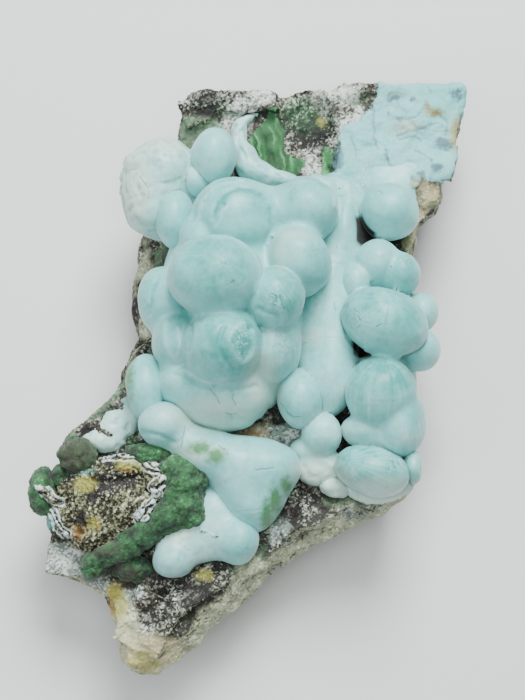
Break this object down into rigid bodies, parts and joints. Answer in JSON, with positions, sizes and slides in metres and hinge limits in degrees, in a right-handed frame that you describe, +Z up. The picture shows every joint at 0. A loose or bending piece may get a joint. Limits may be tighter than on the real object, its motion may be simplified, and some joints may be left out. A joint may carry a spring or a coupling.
{
  "type": "chrysocolla specimen",
  "caption": "Hand-sized mineral specimen: pale blue-green botryoidal chrysocolla and green malachite grown over a broken plate of rock, lying on its back.",
  "frame": {"origin": "middle of the bounding box's floor, on the surface the specimen rests on", "axes": "+Z up through the lumps, +Y along the plate towards its wide end, +X across the plate"},
  "size_m": [0.0916, 0.1253, 0.052],
  "materials": {
    "chrysocolla": "waxy, pale blue-green, satin",
    "malachite": "velvety to fibrous, matt green",
    "matrix_rock": "broken, grainy, matt"
  },
  "bodies": {
    "root": {"chrysocolla_specimen": "chrysocolla"}
  },
  "joints": []
}
